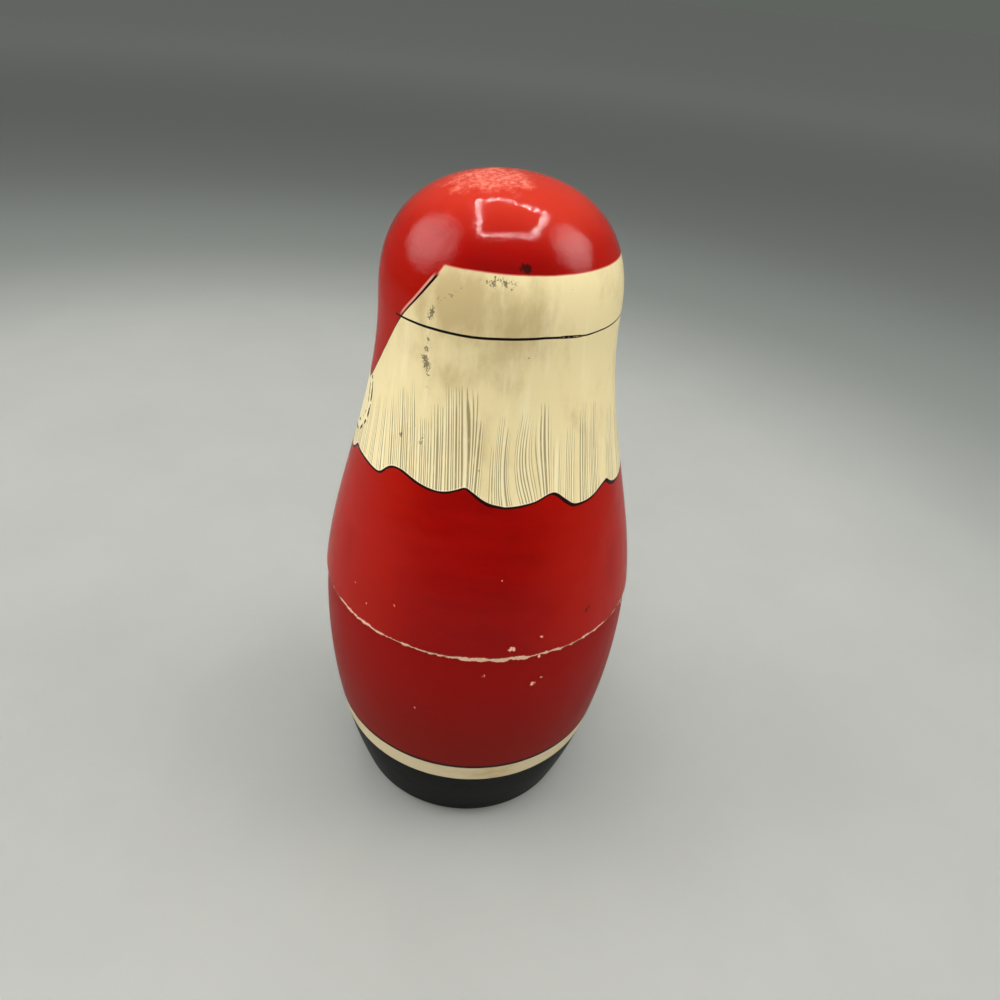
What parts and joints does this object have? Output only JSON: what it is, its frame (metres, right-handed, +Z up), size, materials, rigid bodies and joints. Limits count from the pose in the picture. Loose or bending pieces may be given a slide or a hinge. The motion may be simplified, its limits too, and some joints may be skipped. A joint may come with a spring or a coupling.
{
  "type": "nesting doll",
  "caption": "Turned and painted wooden nesting doll in a red cap: hollow dolls in two push-fit halves stand inside one another around a solid core doll.",
  "frame": {"origin": "centre of the foot that the outer doll stands on", "axes": "+Z up along the turning axis; the painted face looks along -Y"},
  "size_m": [0.086, 0.086, 0.178],
  "materials": {
    "red_lacquer": "gloss"
  },
  "bodies": {
    "outer_bottom": {"outer_bottom_half": "red_lacquer"},
    "outer_top": {"outer_top_half": "red_lacquer"},
    "second_bottom": {"second_bottom_half": "red_lacquer"},
    "second_top": {"second_top_half": "red_lacquer"},
    "third_bottom": {"third_bottom_half": "red_lacquer"},
    "third_top": {"third_top_half": "red_lacquer"},
    "fourth_bottom": {"fourth_bottom_half": "red_lacquer"},
    "fourth_top": {"fourth_top_half": "red_lacquer"},
    "core": {"core_doll": "red_lacquer"}
  },
  "joints": [
    {"name": "outer_top_lift", "type": "slide", "parent": "outer_bottom", "child": "outer_top", "axis": [0, 0, 1], "range_m": [0, 0.5]},
    {"name": "second_doll_lift", "type": "slide", "parent": "outer_bottom", "child": "second_bottom", "axis": [0, 0, 1], "range_m": [0, 0.076]},
    {"name": "second_top_lift", "type": "slide", "parent": "second_bottom", "child": "second_top", "axis": [0, 0, 1], "range_m": [0, 0.325]},
    {"name": "third_doll_lift", "type": "slide", "parent": "second_bottom", "child": "third_bottom", "axis": [0, 0, 1], "range_m": [0, 0.063]},
    {"name": "third_top_lift", "type": "slide", "parent": "third_bottom", "child": "third_top", "axis": [0, 0, 1], "range_m": [0, 0.186]},
    {"name": "fourth_doll_lift", "type": "slide", "parent": "third_bottom", "child": "fourth_bottom", "axis": [0, 0, 1], "range_m": [0, 0.05]},
    {"name": "fourth_top_lift", "type": "slide", "parent": "fourth_bottom", "child": "fourth_top", "axis": [0, 0, 1], "range_m": [0, 0.078]},
    {"name": "core_lift", "type": "slide", "parent": "fourth_bottom", "child": "core", "axis": [0, 0, 1], "range_m": [0, 0.036]}
  ],
  "couplings": [
    {"joint": "second_doll_lift", "follows": "outer_top_lift", "ratio": 0.152},
    {"joint": "second_top_lift", "follows": "outer_top_lift", "ratio": 0.65},
    {"joint": "third_doll_lift", "follows": "outer_top_lift", "ratio": 0.126},
    {"joint": "third_top_lift", "follows": "outer_top_lift", "ratio": 0.372},
    {"joint": "fourth_doll_lift", "follows": "outer_top_lift", "ratio": 0.1},
    {"joint": "fourth_top_lift", "follows": "outer_top_lift", "ratio": 0.156},
    {"joint": "core_lift", "follows": "outer_top_lift", "ratio": 0.072}
  ]
}
